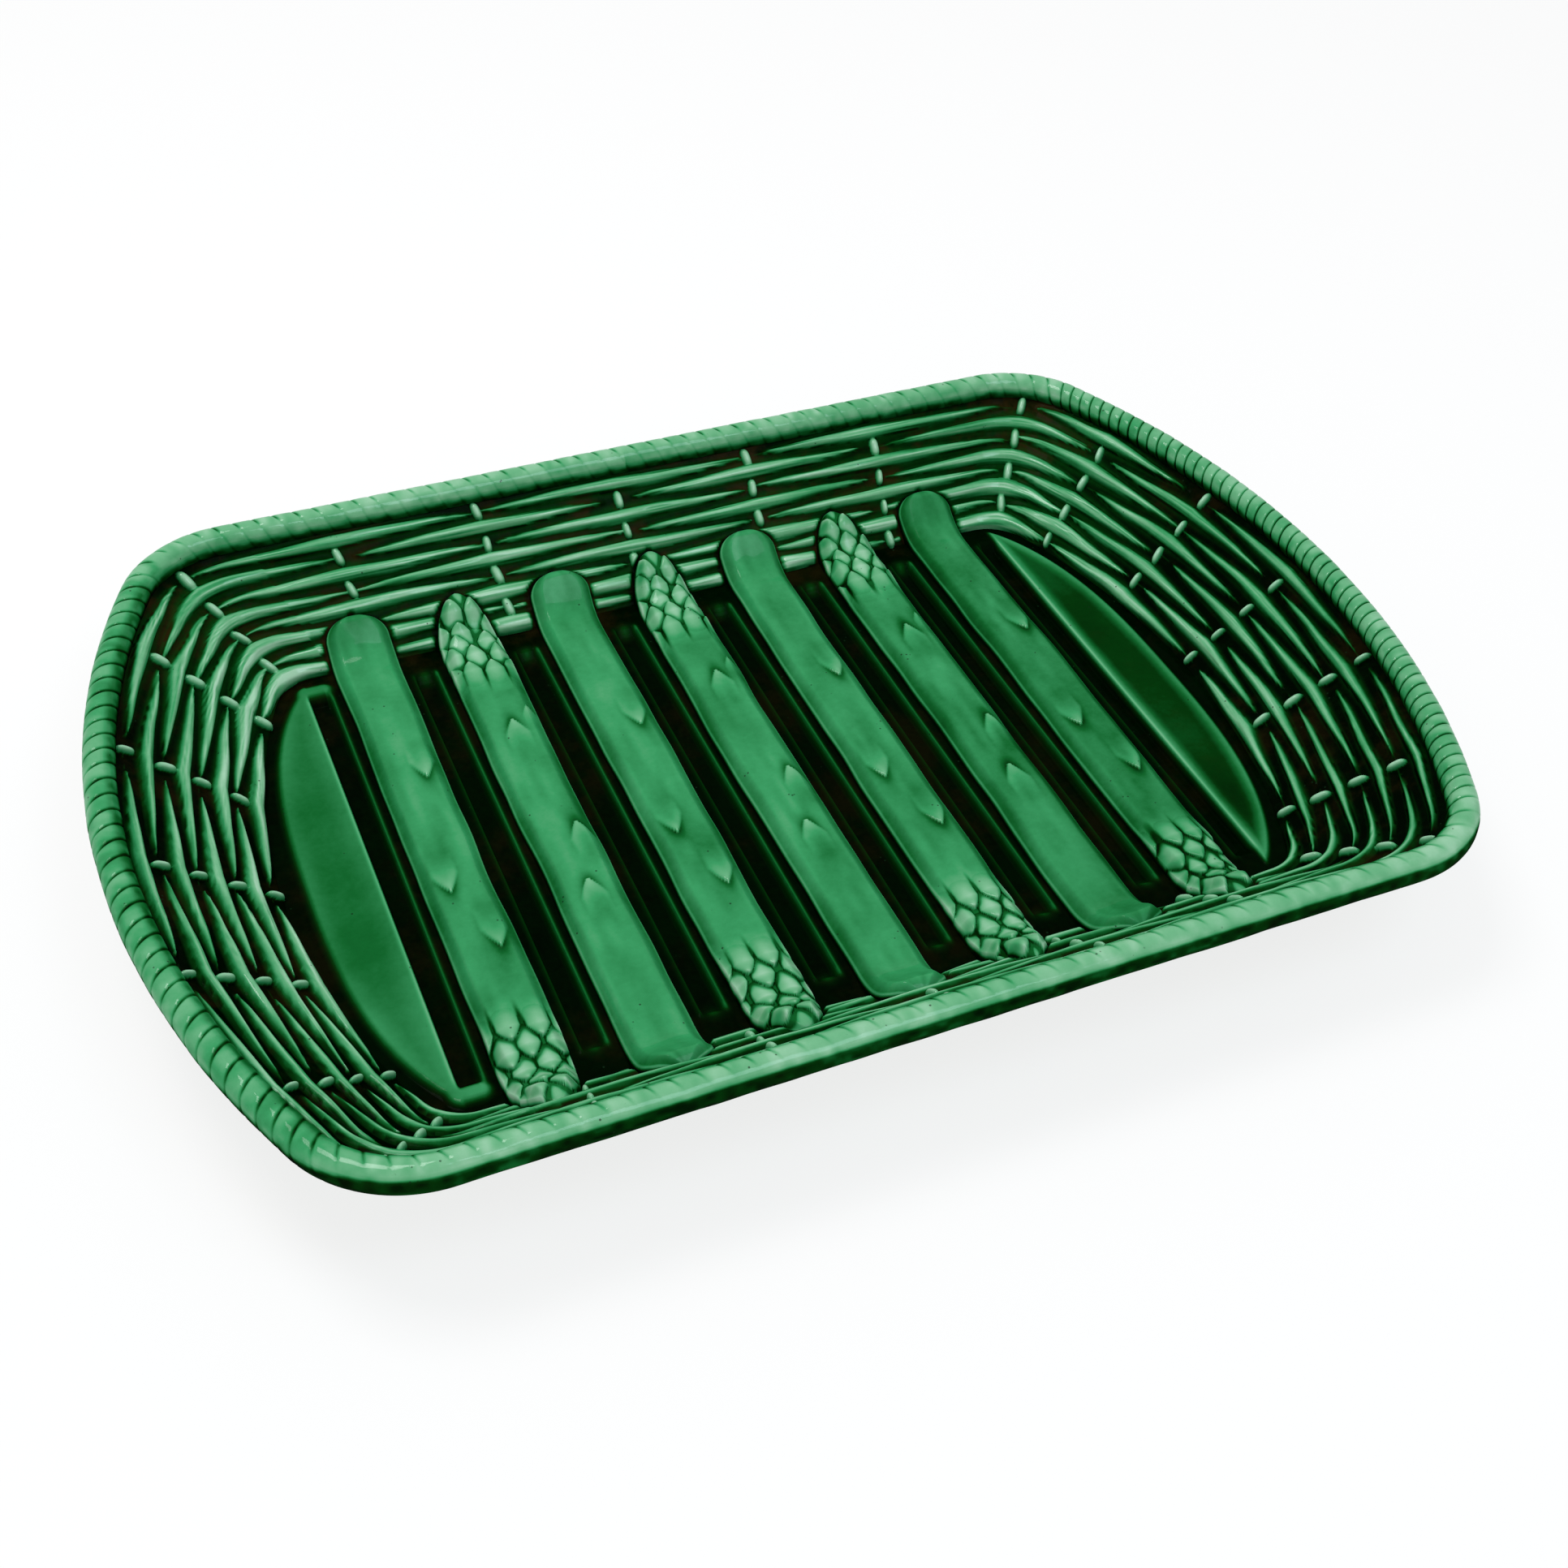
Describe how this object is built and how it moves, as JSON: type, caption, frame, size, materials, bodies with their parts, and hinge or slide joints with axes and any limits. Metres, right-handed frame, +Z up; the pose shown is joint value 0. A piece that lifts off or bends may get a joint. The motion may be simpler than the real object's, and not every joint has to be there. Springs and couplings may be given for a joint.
{
  "type": "asparagus plate",
  "caption": "Oblong glazed earthenware platter with a basket-weave wall, rope rim and relief asparagus spears with drain channels between them on its floor.",
  "frame": {"origin": "centre of the plate on the plane of its foot", "axes": "+X along the length, +Y to the far long side, +Z up"},
  "size_m": [0.38, 0.264, 0.045],
  "materials": {
    "glazed_dish": "dark green pooled glaze, glossy",
    "glazed_rope": "thin green glaze over twisted relief, glossy",
    "glazed_floor": "smooth deep green glaze, glossy",
    "glazed_spear": "mid green glaze, paler on the crests, glossy",
    "glazed_weave": "green glaze, thin and pale on the strands, dark between them, glossy"
  },
  "bodies": {
    "root": {"dish": "glazed_dish", "foot_ring": "glazed_dish", "rope_rim": "glazed_rope", "end_panel_left": "glazed_floor", "end_panel_right": "glazed_floor", "spear_1": "glazed_spear", "spear_2": "glazed_spear", "spear_3": "glazed_spear", "spear_4": "glazed_spear", "spear_5": "glazed_spear", "spear_6": "glazed_spear", "spear_7": "glazed_spear", "spear_1_scales": "glazed_spear", "spear_2_scales": "glazed_spear", "spear_3_scales": "glazed_spear", "spear_4_scales": "glazed_spear", "spear_5_scales": "glazed_spear", "spear_6_scales": "glazed_spear", "spear_7_scales": "glazed_spear", "stakes": "glazed_weave", "weave_course_1": "glazed_weave", "weave_course_2": "glazed_weave", "weave_course_3": "glazed_weave", "weave_course_4": "glazed_weave", "weave_course_5": "glazed_weave", "weave_course_6": "glazed_weave", "weave_course_7": "glazed_weave", "weave_course_8": "glazed_weave"}
  },
  "joints": []
}
